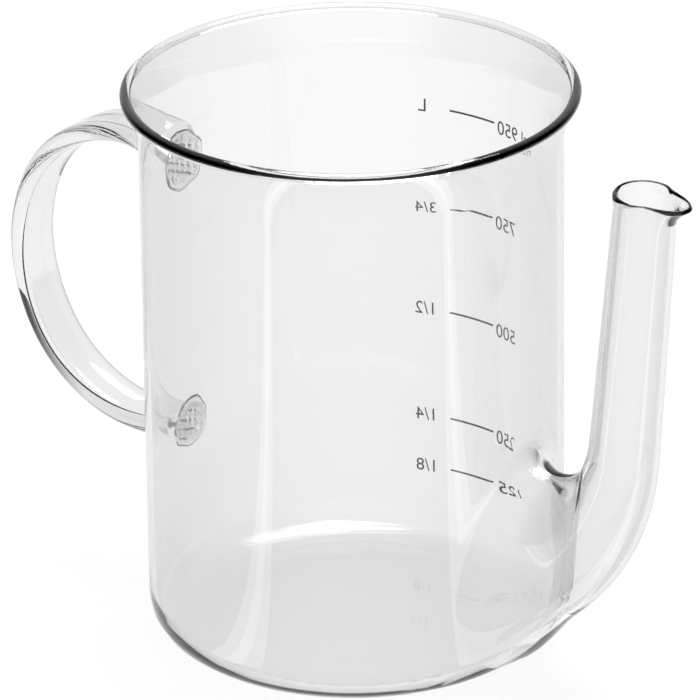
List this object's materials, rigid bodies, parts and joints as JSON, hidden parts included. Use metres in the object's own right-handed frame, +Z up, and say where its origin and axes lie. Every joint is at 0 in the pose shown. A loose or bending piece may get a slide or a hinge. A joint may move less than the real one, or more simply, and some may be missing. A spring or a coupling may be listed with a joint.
{
  "type": "gravy fat separator",
  "caption": "Clear glass measuring jug with a flared rim, a strap handle and a tall curved spout that leaves the wall at the base, so that fat floats and stock pours from below.",
  "frame": {"origin": "on the jug's axis, in the plane of the ring that it stands on", "axes": "+X to the spout, -X to the handle, +Y to the printed scale, +Z up"},
  "size_m": [0.2053, 0.114, 0.146],
  "materials": {
    "jug_glass": "clear polished borosilicate glass",
    "spout_glass": "clear polished borosilicate glass",
    "handle_glass": "clear polished borosilicate glass",
    "weld_glass": "clear polished borosilicate glass",
    "scale_enamel": "fired black enamel print"
  },
  "bodies": {
    "root": {"beaker": "jug_glass", "spout_tube": "spout_glass", "strap_handle": "handle_glass", "upper_handle_weld": "weld_glass", "lower_handle_weld": "weld_glass", "graduation_lines": "scale_enamel"}
  },
  "joints": []
}
